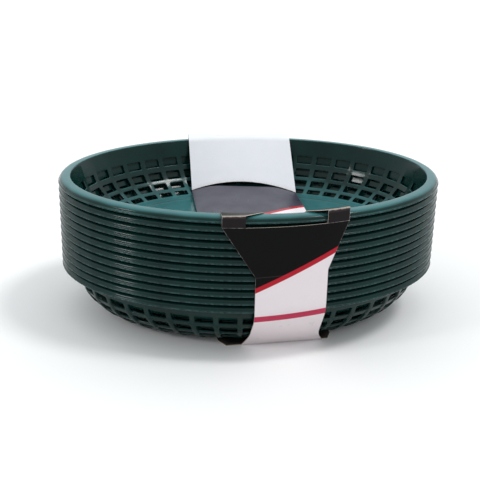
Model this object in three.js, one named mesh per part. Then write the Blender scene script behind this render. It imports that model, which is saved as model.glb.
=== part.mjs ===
// A pack of oval fast food baskets: twelve nested one-piece baskets held by a folded paperboard sleeve.
// The long axis of the ovals lies along X, the front of the pack faces -Y and Z points up.
// The origin is the middle of the underside of the sleeve. Lengths are in millimetres, angles in degrees.
import * as THREE from 'three';

// Baskets
const basketCount = 12;
const rimLength = 324;
const rimWidth = 241.3;
const basketHeight = 46;
const wallThickness = 1.5;
const nestingGap = 0.45;

// Wall section: a short straight band with draft, then an arc that turns in to the floor
const wallDraft = 17;
const floorLean = 60;
const straightBand = 5;

// Rolled rim: a crowned flange and a skirt that ends in a small bead
const flangeWidth = 10;
const flangeCrown = 0.4;
const cornerRound = 1.2;
const skirtDepth = 5;
const beadHeight = 1.4;
const beadStandOut = 0.7;

// Floor: the wall ends on a ridge, inside which the floor lies lower
const ridgeWidth = 4;
const ridgeHeight = 1.2;

// Lattice of windows in the wall, with the rows from the rim down
const windowColumns = 42;
const windowShare = 0.76;
const plainBand = 14;
const footBand = 1.5;
const barHeights = [5, 4, 3.5];
const rowShares = [7.5, 8, 6.5, 4.8];

// Where the plainer inner baskets bend their wall, as a share of its length
const plainBend = 0.33;

// Paperboard sleeve. It sits a little off the middle of the pack and a little askew, so each
// shift is measured from the line of its ears.
const boardThickness = 0.6;
const boardGap = 0.35;
const creaseGap = 0.3;
const sleeveShift = 5;
const earHalfWidth = 47;
const foldRise = 4.5;
const neckHalfWidth = 28;
const neckShift = 6;
const neckHeight = 36;
const bellyHalfWidth = 30;
const bellyGap = 1.3;
const baseHalfWidth = 41.5;
const baseShift = 3.5;

// Where the upright boards turn in below the rims, as a share of the wall, and how closely they
// follow its curve there
const bellyShare = 0.55;
const bellyFollow = 0.6;

// The slot that lets the top rim through the fold, and its share of the columns across a board
const slotHalfWidth = 29.7;
const slotShare = 0.62;

// Flaps folded down inside the top basket and the tongue that lies across its floor
const flapHalfWidth = 50;
const flapEdgeInset = 2.5;
const floorCreaseInset = 10;
const tongueMeet = 68.5;
const tongueBulge = 3;
const tongueLift = 4;
const archRise = 9;
const meetGap = 1.5;

const radians = THREE.MathUtils.degToRad;
const bow = (share) => 1 - share ** 2;

// Wall section
const flangeTopToWall = flangeCrown;
const wallDepth = basketHeight - wallThickness - ridgeHeight - flangeTopToWall;
const draftAngle = radians(wallDraft);
const leanAngle = radians(floorLean);
const bowlRadius = (wallDepth - straightBand) / (Math.sin(leanAngle) - Math.sin(draftAngle));
const straightLength = straightBand / Math.cos(draftAngle);
const wallLength = straightLength + bowlRadius * (leanAngle - draftAngle);
const stackPitch = (wallThickness + nestingGap) / Math.sin(draftAngle);

// A point of the wall's inner face, given by its distance down the wall from the flange. inset is
// measured inwards from the rim's edge and depth downwards from the top of the flange.
function wallPoint(distance) {
  const arc = Math.max(distance - straightLength, 0) / bowlRadius;
  const straight = Math.min(distance, straightLength);
  const angle = draftAngle + arc;
  return {
    inset: flangeWidth + straight * Math.sin(draftAngle)
      + bowlRadius * (Math.cos(draftAngle) - Math.cos(angle)),
    depth: flangeTopToWall + straight * Math.cos(draftAngle)
      + bowlRadius * (Math.sin(angle) - Math.sin(draftAngle)),
    angle,
  };
}

// The point behind it, away from the basket's hollow by the given distance
function behindWall(distance, thickness) {
  const point = wallPoint(distance);
  return {
    inset: point.inset - thickness * Math.cos(point.angle),
    depth: point.depth + thickness * Math.sin(point.angle),
  };
}

const flangeUnderside = flangeTopToWall + wallThickness;
const wallEnd = wallPoint(wallLength);
const outerWallStart = {
  inset: flangeWidth - wallThickness * Math.cos(draftAngle)
    + (flangeUnderside - flangeTopToWall - wallThickness * Math.sin(draftAngle)) * Math.tan(draftAngle),
  depth: flangeUnderside,
};
const outerWallEnd = { inset: wallEnd.inset - wallThickness * Math.sin(leanAngle), depth: basketHeight };

// Heights
const sleeveBaseTop = boardThickness;
const firstBasketBottom = sleeveBaseTop + boardGap;
const bottomOfBasket = (index) => firstBasketBottom + index * stackPitch;
const flangeTopOf = (index) => bottomOfBasket(index) + basketHeight;
const topFlange = flangeTopOf(basketCount - 1);

// Positions round the oval that are evenly spaced by length along the middle of the wall
function evenAngles(shares) {
  const samples = 1440;
  const reference = wallPoint(wallLength / 3).inset;
  const oval = new THREE.EllipseCurve(0, 0, rimLength / 2 - reference, rimWidth / 2 - reference);
  oval.arcLengthDivisions = samples;
  return shares.map((share) => oval.getUtoTmapping(((share % 1) + 1) % 1) * 2 * Math.PI);
}

const columnShares = Array.from({ length: windowColumns }, (_, column) => column / windowColumns);
const ribAngles = evenAngles(columnShares.map((share) => share - 0.5 / windowColumns));
const windowAngles = evenAngles(columnShares.flatMap((share) => [
  share - windowShare / 2 / windowColumns,
  share + windowShare / 2 / windowColumns,
]));

// The long axis ends in the middle of a facet, so the corners lie a little outside the true oval
// and the baskets keep their full length.
const facetStretch = 1 / Math.cos(ribAngles[1]);

// Collects points and triangles of one closed skin
class Skin {
  constructor() {
    this.positions = [];
    this.triangles = [];
  }

  addPoint(x, y, z) {
    this.positions.push(x, y, z);
    return this.positions.length / 3 - 1;
  }

  addTriangle(a, b, c) {
    this.triangles.push(a, b, c);
  }

  addQuad(a, b, c, d) {
    this.addTriangle(a, b, c);
    this.addTriangle(a, c, d);
  }

  // An oval ring at one point of the section
  addRing(angles, { inset, depth }) {
    return angles.map((angle) => this.addPoint(
      (rimLength / 2 - inset) * facetStretch * Math.cos(angle),
      (rimWidth / 2 - inset) * Math.sin(angle),
      -depth,
    ));
  }

  // The band between two rings with equal counts. isOpen tells which of its cells stay open.
  bridge(first, second, isOpen = () => false) {
    first.forEach((point, i) => {
      const next = (i + 1) % first.length;
      if (!isOpen(i)) this.addQuad(point, first[next], second[next], second[i]);
    });
  }

  // The band between a ring at the ribs and a ring at the windows' edges, which has twice as many
  // points. coarseFirst tells which of the two comes first along the section.
  bridgeToWindows(coarse, fine, coarseFirst) {
    const add = (a, b, c) => (coarseFirst ? this.addTriangle(a, b, c) : this.addTriangle(a, c, b));
    coarse.forEach((point, i) => {
      const left = fine[2 * i];
      const right = fine[2 * i + 1];
      const before = fine[(2 * i - 1 + fine.length) % fine.length];
      const next = coarse[(i + 1) % coarse.length];
      add(point, left, before);
      add(point, right, left);
      add(point, next, right);
    });
  }

  // The four sides of each window between the inner and the outer rings above and below it
  lineWindows(innerTop, innerBottom, outerTop, outerBottom) {
    for (let i = 0; i < innerTop.length; i += 2) {
      this.addQuad(innerTop[i], innerTop[i + 1], outerTop[i + 1], outerTop[i]);
      this.addQuad(innerTop[i + 1], innerBottom[i + 1], outerBottom[i + 1], outerTop[i + 1]);
      this.addQuad(innerBottom[i + 1], innerBottom[i], outerBottom[i], outerBottom[i + 1]);
      this.addQuad(innerBottom[i], innerTop[i], outerTop[i], outerBottom[i]);
    }
  }

  // A flat end to a ring, facing up or down
  cap(ring, depth, facesUp) {
    const centre = this.addPoint(0, 0, -depth);
    ring.forEach((point, i) => {
      const next = ring[(i + 1) % ring.length];
      if (facesUp) this.addTriangle(point, next, centre);
      else this.addTriangle(next, point, centre);
    });
  }

  toGeometry() {
    const geometry = new THREE.BufferGeometry();
    geometry.setAttribute('position', new THREE.Float32BufferAttribute(this.positions, 3));
    geometry.setIndex(this.triangles);
    const flat = geometry.toNonIndexed();
    flat.computeVertexNormals();
    return flat;
  }
}

// Outline of the rim from the foot of the skirt over the flange to the top of the wall
function rimSection() {
  return [
    { inset: 0, depth: skirtDepth },
    { inset: beadStandOut, depth: skirtDepth - beadHeight },
    { inset: beadStandOut, depth: cornerRound },
    { inset: beadStandOut + cornerRound, depth: 0 },
    { inset: flangeWidth, depth: flangeTopToWall },
  ];
}

// Distances down the wall at which the windows of the lattice start and end
function latticeLevels() {
  const barTotal = barHeights.reduce((sum, bar) => sum + bar, 0);
  const shareTotal = rowShares.reduce((sum, share) => sum + share, 0);
  const openHeight = wallLength - plainBand - footBand - barTotal;
  let level = plainBand;
  return rowShares.flatMap((share, row) => {
    const start = level;
    const end = start + (openHeight * share) / shareTotal;
    level = end + (barHeights[row] ?? 0);
    return [start, end];
  });
}

// A basket with its lattice of windows
function latticeBasket() {
  const skin = new Skin();
  const rim = rimSection().map((point) => skin.addRing(ribAngles, point));
  rim.slice(1).forEach((ring, i) => skin.bridge(rim[i], ring));

  const levels = latticeLevels();
  const inner = levels.map((level) => skin.addRing(windowAngles, wallPoint(level)));
  const outer = levels.map((level) => skin.addRing(windowAngles, behindWall(level, wallThickness)));
  const isWindowRow = (row) => row % 2 === 0;
  const isWindowCell = (cell) => cell % 2 === 0;
  levels.slice(1).forEach((_, row) => {
    const isOpen = (cell) => isWindowRow(row) && isWindowCell(cell);
    skin.bridge(inner[row], inner[row + 1], isOpen);
    skin.bridge(outer[row + 1], outer[row], isOpen);
    if (isWindowRow(row)) skin.lineWindows(inner[row], inner[row + 1], outer[row], outer[row + 1]);
  });
  skin.bridgeToWindows(rim.at(-1), inner[0], true);

  const floorTop = basketHeight - wallThickness;
  const ridge = [
    { inset: wallEnd.inset, depth: wallEnd.depth },
    { inset: wallEnd.inset + ridgeWidth, depth: wallEnd.depth },
    { inset: wallEnd.inset + ridgeWidth + ridgeHeight, depth: floorTop },
  ].map((point) => skin.addRing(ribAngles, point));
  skin.bridgeToWindows(ridge[0], inner.at(-1), false);
  skin.bridge(ridge[0], ridge[1]);
  skin.bridge(ridge[1], ridge[2]);
  skin.cap(ridge[2], floorTop, true);

  const foot = skin.addRing(ribAngles, outerWallEnd);
  skin.cap(foot, basketHeight, false);
  skin.bridgeToWindows(foot, outer.at(-1), true);
  const underFlange = [
    outerWallStart,
    { inset: beadStandOut + wallThickness, depth: flangeUnderside },
    { inset: beadStandOut + wallThickness, depth: skirtDepth },
  ].map((point) => skin.addRing(ribAngles, point));
  skin.bridgeToWindows(underFlange[0], outer[0], false);
  skin.bridge(underFlange[0], underFlange[1]);
  skin.bridge(underFlange[1], underFlange[2]);
  skin.bridge(underFlange[2], rim[0]);
  return skin.toGeometry();
}

// The same basket with fewer faces and a closed wall, for those that lie inside the stack
function plainBasket() {
  const skin = new Skin();
  const bend = wallLength * plainBend;
  const section = [
    { inset: 0, depth: skirtDepth },
    { inset: beadStandOut, depth: 0 },
    { inset: flangeWidth, depth: flangeTopToWall },
    wallPoint(bend),
    wallEnd,
  ].map((point) => skin.addRing(ribAngles, point));
  section.slice(1).forEach((ring, i) => skin.bridge(section[i], ring));
  skin.cap(section.at(-1), wallEnd.depth, true);

  const back = [outerWallEnd, behindWall(bend, wallThickness), outerWallStart]
    .map((point) => skin.addRing(ribAngles, point));
  skin.cap(back[0], basketHeight, false);
  skin.bridge(back[0], back[1]);
  skin.bridge(back[1], back[2]);
  skin.bridge(back[2], section[0]);
  return skin.toGeometry();
}

// A closed sheet between two grids of points, with the cells that isCut names left open
function sheet(front, back, isCut = () => false) {
  const rows = front.length;
  const columns = front[0].length;
  const skin = new Skin();
  const add = (grid) => grid.map((row) => row.map((point) => skin.addPoint(...point.toArray())));
  const near = add(front);
  const far = add(back);
  const isSolid = (row, column) => row >= 0 && column >= 0 && row < rows - 1 && column < columns - 1
    && !isCut(row, column);
  for (let row = 0; row < rows - 1; row += 1) {
    for (let column = 0; column < columns - 1; column += 1) {
      if (isSolid(row, column)) addSheetCell(skin, near, far, row, column, isSolid);
    }
  }
  return turnOutwards(skin.toGeometry());
}

// One cell of a sheet: its two faces, and a side wherever the next cell is open
function addSheetCell(skin, near, far, row, column, isSolid) {
  const corners = [[row, column], [row, column + 1], [row + 1, column + 1], [row + 1, column]];
  const neighbours = [[row - 1, column], [row, column + 1], [row + 1, column], [row, column - 1]];
  skin.addQuad(...corners.map(([r, c]) => near[r][c]));
  skin.addQuad(...corners.map(([r, c]) => far[r][c]).reverse());
  neighbours.forEach(([r, c], side) => {
    if (isSolid(r, c)) return;
    const [fromRow, fromColumn] = corners[side];
    const [toRow, toColumn] = corners[(side + 1) % 4];
    skin.addQuad(
      near[toRow][toColumn],
      near[fromRow][fromColumn],
      far[fromRow][fromColumn],
      far[toRow][toColumn],
    );
  });
}

// Reverses the triangles of a geometry whose faces point inwards
function turnOutwards(geometry) {
  const position = geometry.attributes.position;
  const corner = (index) => new THREE.Vector3().fromBufferAttribute(position, index);
  let volume = 0;
  for (let i = 0; i < position.count; i += 3) {
    volume += corner(i).dot(corner(i + 1).cross(corner(i + 2)));
  }
  if (volume > 0) return geometry;
  for (let i = 0; i < position.count; i += 3) {
    const second = corner(i + 1);
    position.setXYZ(i + 1, ...corner(i + 2).toArray());
    position.setXYZ(i + 2, ...second.toArray());
  }
  geometry.computeVertexNormals();
  return geometry;
}

// The sleeve's boards are drawn as paths of reaches from the middle of the pack and heights. This
// moves a path sideways by a distance, away from the baskets for the upright boards.
function offsetPath(path, distance) {
  return path.map((point, i) => {
    const directions = [path[i - 1] && [path[i - 1], point], path[i + 1] && [point, path[i + 1]]]
      .filter(Boolean)
      .map(([from, to]) => new THREE.Vector2(to.reach - from.reach, to.height - from.height).normalize());
    const normals = directions.map((direction) => new THREE.Vector2(direction.y, -direction.x));
    const mean = normals.reduce((sum, normal) => sum.add(normal), new THREE.Vector2()).normalize();
    const stretch = distance / mean.dot(new THREE.Vector2(directions[0].y, -directions[0].x));
    return { ...point, reach: point.reach + mean.x * stretch, height: point.height + mean.y * stretch };
  });
}

// How far a line across the board lies behind the pack's widest point, where it follows the rims
function rimBow(x) {
  return (rimWidth / 2) * (1 - Math.sqrt(1 - (x / (rimLength / 2)) ** 2));
}

// Columns of points across a board, as shares of its half width
const outerColumn = (1 + slotShare) / 2;
const rightColumns = [slotShare / 2, slotShare, outerColumn, 1];
const boardColumns = [...rightColumns.map((share) => -share).reverse(), 0, ...rightColumns];

// Tells whether the cell between a column and the next one belongs to the slot
function isSlotColumn(column) {
  return Math.abs(boardColumns[column] + boardColumns[column + 1]) / 2 < slotShare;
}

// Place across the board of a column. Where the board is slotted, the columns at the ends of the
// slot keep their place whatever the width.
function acrossBoard({ halfWidth, slotted }, share) {
  if (!slotted) return halfWidth * share;
  const size = Math.abs(share);
  const outer = (size - slotShare) / (1 - slotShare);
  const place = size <= slotShare
    ? (slotHalfWidth * size) / slotShare
    : slotHalfWidth + (halfWidth - slotHalfWidth) * outer;
  return Math.sign(share) * place;
}

// Points of one face of a board. follow is 1 where the board hugs the rims and 0 where it is
// straight across, and curve moves the points of a row by their share of the width.
function boardGrid(path, side) {
  return path.map(({ follow = 0, shift = 0, curve = () => ({}), ...point }) => boardColumns.map((share) => {
    const x = sleeveShift + shift + acrossBoard(point, share);
    const { reach = 0, height = 0 } = curve(share);
    return new THREE.Vector3(x, side * (point.reach - follow * rimBow(x) + reach), point.height + height);
  }));
}

// A board along a path, at the front of the pack for side -1 and at the back for side 1
function board(path, side, isCut) {
  return sheet(boardGrid(path, side), boardGrid(offsetPath(path, boardThickness), side), isCut);
}

// Sleeve: places along its section
const rimReach = rimWidth / 2 + boardGap;
const baseReach = rimWidth / 2 - outerWallEnd.inset + bellyGap;
const belly = behindWall(wallLength * bellyShare, wallThickness + bellyGap);
const bellyReach = rimWidth / 2 - belly.inset;
const bellyHeight = flangeTopOf(0) - belly.depth;
const neckFoot = flangeTopOf(0) - skirtDepth - boardGap;
const slotBottom = topFlange - skirtDepth - (stackPitch - skirtDepth) / 2;
const earTop = topFlange + foldRise;
const ridgeTop = bottomOfBasket(basketCount - 1) + wallThickness + ridgeHeight;
const tongueHeight = ridgeTop + boardGap;
const flapEdgeReach = rimWidth / 2 - flangeWidth - flapEdgeInset;
const flapEdgeHeight = topFlange + boardGap + boardThickness;
const floorCreaseReach = rimWidth / 2 - wallEnd.inset - floorCreaseInset;

// Flat board under the stack
function sleeveBase() {
  const base = new THREE.BoxGeometry(2 * baseHalfWidth, 2 * baseReach, boardThickness);
  return base.translate(sleeveShift + baseShift, 0, boardThickness / 2);
}

// Upright board from the base to the fold over the rims, with a slot that the top rim sits in
function uprightPanel(side) {
  const neck = { reach: rimReach, halfWidth: neckHalfWidth, shift: neckShift, follow: 1 };
  const ears = { reach: rimReach, halfWidth: earHalfWidth, follow: 1, slotted: true };
  const path = [
    { reach: baseReach + creaseGap, height: 0, halfWidth: baseHalfWidth, shift: baseShift },
    { reach: bellyReach, height: bellyHeight, halfWidth: bellyHalfWidth, shift: neckShift, follow: bellyFollow },
    { ...neck, height: neckFoot },
    { ...neck, height: neckFoot + neckHeight },
    { ...ears, height: slotBottom },
    { ...ears, height: earTop },
  ];
  const slotRow = path.length - 2;
  return board(path, side, (row, column) => row === slotRow && isSlotColumn(column));
}

// Board folded over the top rim and down inside the top basket, up to its next crease or free
// edge. The slot goes on as far as the inner edge of the rim.
function foldedFlap(side, end) {
  const path = [
    { reach: rimReach, height: earTop + creaseGap, halfWidth: earHalfWidth, follow: 1, slotted: true },
    { reach: flapEdgeReach, height: flapEdgeHeight, halfWidth: flapHalfWidth, follow: 1, slotted: true },
    { halfWidth: flapHalfWidth, slotted: true, ...end },
  ];
  return board(path, side, (row, column) => row === 0 && isSlotColumn(column));
}

// The front flap ends in a straight crease just above the floor
function frontFlap() {
  return foldedFlap(-1, { reach: floorCreaseReach, height: tongueHeight });
}

// Board that lies on the floor ridge of the top basket and meets the back flap, with its free end
// bowed out and sprung up in the middle
function sleeveTongue() {
  const spring = (share) => ({ reach: -tongueBulge * bow(share), height: tongueLift * bow(share) });
  const line = { height: tongueHeight, halfWidth: flapHalfWidth, slotted: true };
  const path = [
    { ...line, reach: floorCreaseReach - boardThickness - creaseGap },
    { ...line, reach: -tongueMeet, curve: spring },
  ];
  return board(path, -1);
}

// The back flap ends in an arch, cut up along its own slope
function backFlap() {
  const end = { reach: tongueMeet + meetGap, height: tongueHeight + boardThickness };
  const rise = new THREE.Vector2(flapEdgeReach - end.reach, flapEdgeHeight - end.height)
    .setLength(archRise);
  const arch = (share) => ({ reach: rise.x * bow(share), height: rise.y * bow(share) });
  return foldedFlap(1, { ...end, curve: arch });
}

// Materials
const basketGreen = new THREE.MeshStandardMaterial({ color: 0x1c4e4a, roughness: 0.3, metalness: 0 });
const printedBoard = new THREE.MeshStandardMaterial({ color: 0x151517, roughness: 0.45, metalness: 0 });
const whiteBoard = new THREE.MeshStandardMaterial({ color: 0xe9ecf0, roughness: 0.8, metalness: 0 });

function part(name, geometry, material) {
  const mesh = new THREE.Mesh(geometry, material);
  mesh.name = name;
  return mesh;
}

const pack = new THREE.Group();

// The baskets, numbered from the bottom of the stack
const lattice = latticeBasket();
const plain = plainBasket();
for (let index = 0; index < basketCount; index += 1) {
  const isOuter = index === 0 || index === basketCount - 1;
  const number = String(index + 1).padStart(2, '0');
  const basket = part(`basket_${number}`, isOuter ? lattice : plain, basketGreen);
  basket.position.z = flangeTopOf(index);
  pack.add(basket);
}

// The sleeve
pack.add(
  part('sleeve_base', sleeveBase(), whiteBoard),
  part('sleeve_front_panel', uprightPanel(-1), printedBoard),
  part('sleeve_back_panel', uprightPanel(1), printedBoard),
  part('sleeve_front_flap', frontFlap(), printedBoard),
  part('sleeve_tongue', sleeveTongue(), printedBoard),
  part('sleeve_back_flap', backFlap(), whiteBoard),
);

export default pack;
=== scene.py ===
import math

import bpy
from mathutils import Matrix, Vector


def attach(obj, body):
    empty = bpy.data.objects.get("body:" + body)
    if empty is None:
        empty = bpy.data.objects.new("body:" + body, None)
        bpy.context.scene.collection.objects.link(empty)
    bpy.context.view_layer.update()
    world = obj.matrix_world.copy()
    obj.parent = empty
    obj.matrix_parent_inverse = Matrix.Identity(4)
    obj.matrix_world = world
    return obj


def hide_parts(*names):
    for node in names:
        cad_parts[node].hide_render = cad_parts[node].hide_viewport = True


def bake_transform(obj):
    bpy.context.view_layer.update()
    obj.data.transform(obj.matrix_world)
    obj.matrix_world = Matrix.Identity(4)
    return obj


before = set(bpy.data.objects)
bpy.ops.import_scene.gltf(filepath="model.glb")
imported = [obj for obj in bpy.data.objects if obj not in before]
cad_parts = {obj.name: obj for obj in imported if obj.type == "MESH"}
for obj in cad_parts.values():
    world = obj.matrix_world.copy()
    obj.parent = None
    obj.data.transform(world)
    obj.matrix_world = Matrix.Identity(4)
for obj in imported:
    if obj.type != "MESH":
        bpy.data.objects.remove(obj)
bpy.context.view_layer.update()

# Sizes in millimetres. The wall is a little rounder and the basket 1.5 mm higher than in the
# solids, and the pitch 0.1 mm smaller. The height of the lowest basket's underside and the plan of
# the rim are the same. In the middle of the board, the sleeve's creases lie within about 2 mm of
# the solids' hinges.

# The baskets
BASKETS = 12
RIM_LENGTH = 324.0
RIM_WIDTH = 241.3
BASKET_HEIGHT = 47.5
WALL = 1.5
NESTING_GAP = 0.45
WALL_DRAFT = math.radians(17.25)
FLOOR_LEAN = math.radians(65.8)
STRAIGHT_BAND = 13.4
FLANGE_WIDTH = 10.0
INNER_ROUND = 0.2
SKIRT_DEPTH = 5.1
RIDGE_WIDTH = 7.0
RIDGE_HEIGHT = 0.95
COLUMNS = 42
WINDOW_SHARE = 0.76
PLAIN_BAND = 15.1
FOOT_BAND = 2.1
BAR_HEIGHTS = [5.0, 3.8, 3.6]
ROW_SHARES = [7.4, 8.3, 6.8, 5.2]
COLUMN_WIDTH = 19.4
WINDOW_CORNER = 0.9
LATTICE_START = 2.6
LATTICE_END = 0.4
RIB_START = 17.0
RIB_TAPER = 7.0
RIB_HEIGHT = 0.9
RIB_EDGE = 0.365
RIB_EDGE_SPAN = 0.03
FLOOR_MIDDLE_INSET = 102.0
NORMAL_WEIGHT = 80

# The sleeve: half widths, shifts along X, heights, insets from the rim's edge and slopes
BOARD = 0.6
BOARD_GAP = 0.35
SLEEVE_SHIFT = 7.4
EAR_HALF = 48.3
EAR_SHIFT = 5.2
FRONT_FOLD = dict(rise=2.5, slope=0.036)
BACK_FOLD = dict(rise=2.4, slope=0.01)
NECK_HALF = 28.0
NECK_SHIFT = 10.5
NECK_TOP, NECK_TOP_SLOPE = 74.6, 0.07
NECK_FOOT, NECK_FOOT_SLOPE = 38.9, 0.083
BELLY_HALF = 28.2
BELLY_GAP = 1.3
FOOT_HALF = 34.0
FOOT_GAP = 0.05
BASE_HALF = 42.5
BASE_OVERHANG = 5.3
BASE_TURN = math.radians(4.7)
BELLY_SHARE = 0.7
BELLY_FOLLOW = 0.6
SLOT_HALF = 31.0
SLOT_SHARE = 0.64
SLOT_DEPTH = 7.04
SLOT_SLOPE = 0.02
FLAP_HALF = 48.7
FLAP_EDGE_INSET = 0.8
FLOOR_CREASE_INSET = 10.0
FLOOR_CREASE_SHIFT = -1.9
TONGUE_MEET = 68.5
TONGUE_MEET_SHIFT = -3.9
TONGUE_MEET_TURN = -0.13
TONGUE_BULGE = 3.0
TONGUE_LIFT = 4.6
TONGUE_RAMP = 1.5
ARCH_RISE = 10.3
MEET_GAP = 1.2
BASE_FLARE = 5.0
BASE_FLARE_LENGTH = 10.0
TONGUE_HEIGHT = 77.4
FRONT_SLOT_SHARE = 0.32
BACK_SLOT_HALF = 21.6
BACK_SLOT_END = 0.4

# How the sheets bend, how finely they are divided, and how worn they are
PANEL_ROUNDS = [0, 7.5, 7.0, 1.0, 0.8, 0]
PANEL_FILLS = [2, 4, 8, 9, 4]
CORNER_STEPS = 4
RIM_STEPS = (0.0, 0.06, 0.2, 0.4, 0.6, 0.78)
BEND_STEPS = (0.25, 0.5, 0.75, 1.0)
BEND = 2.4
FLAP_START = 3.0
FRONT_SLOT_ROWS = 2
CRISP_ANGLE = math.radians(50)
BASE_COLUMNS, BASE_ROWS = 12, 36
FLAP_ROWS = 12
TONGUE_ROWS = 24
TONGUE_SPRING = 1.5
EAR_COLUMNS = 6
CREASE_WEAR = 0.35
EAR_WEAR = 0.14
SIDE_WEAR = 0.6
BASE_EDGE_WEAR = 0.8
FLAP_END_WEAR = 0.9
TONGUE_END_WEAR = 0.3

# Wall section
WALL_DEPTH = BASKET_HEIGHT - WALL - RIDGE_HEIGHT - INNER_ROUND
BOWL_RADIUS = (WALL_DEPTH - STRAIGHT_BAND) / (math.sin(FLOOR_LEAN) - math.sin(WALL_DRAFT))
STRAIGHT = STRAIGHT_BAND / math.cos(WALL_DRAFT)
WALL_LENGTH = STRAIGHT + BOWL_RADIUS * (FLOOR_LEAN - WALL_DRAFT)
PITCH = (WALL + NESTING_GAP) / math.sin(WALL_DRAFT)
HALF_LENGTH = RIM_LENGTH / 2
HALF_WIDTH = RIM_WIDTH / 2


def flange_top(index):
    return BOARD + BOARD_GAP + index * PITCH + BASKET_HEIGHT


TOP = flange_top(BASKETS - 1)


def wall_point(distance, offset=0.0):
    """Inset from the rim's edge and depth below the flange, that far down the wall and behind its
    inner face."""
    angle = WALL_DRAFT + max(distance - STRAIGHT, 0) / BOWL_RADIUS
    straight = min(distance, STRAIGHT)
    inset = FLANGE_WIDTH + straight * math.sin(WALL_DRAFT)
    inset += BOWL_RADIUS * (math.cos(WALL_DRAFT) - math.cos(angle))
    depth = INNER_ROUND + straight * math.cos(WALL_DRAFT)
    depth += BOWL_RADIUS * (math.sin(angle) - math.sin(WALL_DRAFT))
    return inset - offset * math.cos(angle), depth + offset * math.sin(angle)


def oval_angles(samples=2880):
    """A function that gives the angle for a share of the way round, even by length along the
    middle of the wall."""
    inset = wall_point(WALL_LENGTH / 3)[0]
    a, b = HALF_LENGTH - inset, HALF_WIDTH - inset
    lengths = [0.0]
    for i in range(samples):
        t0, t1 = (2 * math.pi * k / samples for k in (i, i + 1))
        step = math.hypot(a * (math.cos(t1) - math.cos(t0)), b * (math.sin(t1) - math.sin(t0)))
        lengths.append(lengths[-1] + step)

    def angle(share):
        turns = math.floor(share)
        target = (share - turns) * lengths[-1]
        low, high = 0, samples
        while high - low > 1:
            middle = (low + high) // 2
            if lengths[middle] <= target:
                low = middle
            else:
                high = middle
        part = (target - lengths[low]) / (lengths[high] - lengths[low])
        return 2 * math.pi * (turns + (low + part) / samples)

    return angle


ANGLE = oval_angles()


class Mesh:
    """Collects points in millimetres, with flat coordinates and wear, and faces with the number of
    their material."""

    def __init__(self):
        self.points, self.faces, self.materials, self.flat, self.wear = [], [], [], [], []

    def point(self, x, y, z, flat=(0.0, 0.0), wear=0.0):
        self.points.append((x / 1000, y / 1000, z / 1000))
        self.flat.append(flat)
        self.wear.append(wear)
        return len(self.points) - 1

    def face(self, corners, material=0):
        self.faces.append(corners)
        self.materials.append(material)

    def band(self, first, second):
        for i in range(len(first)):
            j = (i + 1) % len(first)
            self.face((first[i], first[j], second[j], second[i]))

    def build(self, name, materials):
        mesh = bpy.data.meshes.new(name)
        mesh.from_pydata(self.points, [], self.faces)
        mesh.polygons.foreach_set("material_index", self.materials)
        for material in materials:
            mesh.materials.append(material)
        layer = mesh.uv_layers.new(name="flat")
        for loop in mesh.loops:
            layer.data[loop.index].uv = self.flat[loop.vertex_index]
        wear = mesh.attributes.new("wear", "FLOAT", "POINT")
        wear.data.foreach_set("value", self.wear)
        mesh.validate()
        mesh.update()
        mesh.shade_smooth()
        return mesh


def weigh_normals(mesh, name):
    """The mesh with normals whose big faces keep flat shading beside their rounded edges."""
    thing = bpy.data.objects.new(name + "_raw", mesh)
    bpy.context.scene.collection.objects.link(thing)
    modifier = thing.modifiers.new("normals", "WEIGHTED_NORMAL")
    modifier.weight = NORMAL_WEIGHT
    graph = bpy.context.evaluated_depsgraph_get()
    done = bpy.data.meshes.new_from_object(thing.evaluated_get(graph))
    done.name = name
    bpy.data.objects.remove(thing)
    return done


# Materials. Noise scales are per metre, and bump distances are metres.


class Look:
    """A procedural material with a Principled shader."""

    def __init__(self, name, **values):
        self.material = bpy.data.materials.new(name)
        self.material.use_nodes = True
        self.tree = self.material.node_tree
        self.shader = self.tree.nodes["Principled BSDF"]
        for key, value in values.items():
            self.shader.inputs[key.replace("_", " ")].default_value = value
        self.place = self.node("ShaderNodeTexCoord").outputs["Object"]

    def node(self, kind, inputs=(), **settings):
        made = self.tree.nodes.new(kind)
        for key, value in settings.items():
            setattr(made, key, value)
        for key, value in dict(inputs).items():
            self.feed(made.inputs[key], value)
        return made

    def feed(self, socket, value):
        if isinstance(value, bpy.types.NodeSocket):
            self.tree.links.new(value, socket)
        else:
            socket.default_value = value

    def math(self, operation, a, b=0.0):
        return self.node("ShaderNodeMath", {0: a, 1: b}, operation=operation).outputs[0]

    def noise(self, scale, detail=2.0, stretch=None, roughness=0.5):
        place = self.place
        if stretch:
            place = self.node("ShaderNodeMapping", {"Vector": place, "Scale": stretch}).outputs[0]
        made = self.node("ShaderNodeTexNoise", {"Vector": place, "Scale": scale, "Detail": detail,
                                                "Roughness": roughness})
        return made.outputs["Fac"]

    def span(self, value, low, high, to_low=0.0, to_high=1.0):
        made = self.node("ShaderNodeMapRange", {"Value": value, "From Min": low, "From Max": high,
                                                "To Min": to_low, "To Max": to_high})
        return made.outputs[0]

    def mix(self, share, a, b):
        made = self.node("ShaderNodeMix", {"Factor": share}, data_type="RGBA")
        colours = [s for s in made.inputs if s.type == "RGBA"]
        for socket, value in zip(colours, (a, b)):
            self.feed(socket, value)
        return next(s for s in made.outputs if s.type == "RGBA")

    def bump(self, height, distance, strength=1.0, normal=None):
        inputs = {"Height": height, "Distance": distance, "Strength": strength}
        if normal:
            inputs["Normal"] = normal
        return self.node("ShaderNodeBump", inputs).outputs[0]

    def attribute(self, name):
        return self.node("ShaderNodeAttribute", attribute_name=name).outputs["Fac"]

    def finish(self, colour, roughness, normal):
        self.feed(self.shader.inputs["Base Color"], colour)
        self.feed(self.shader.inputs["Roughness"], roughness)
        self.feed(self.shader.inputs["Normal"], normal)
        return self.material


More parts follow.
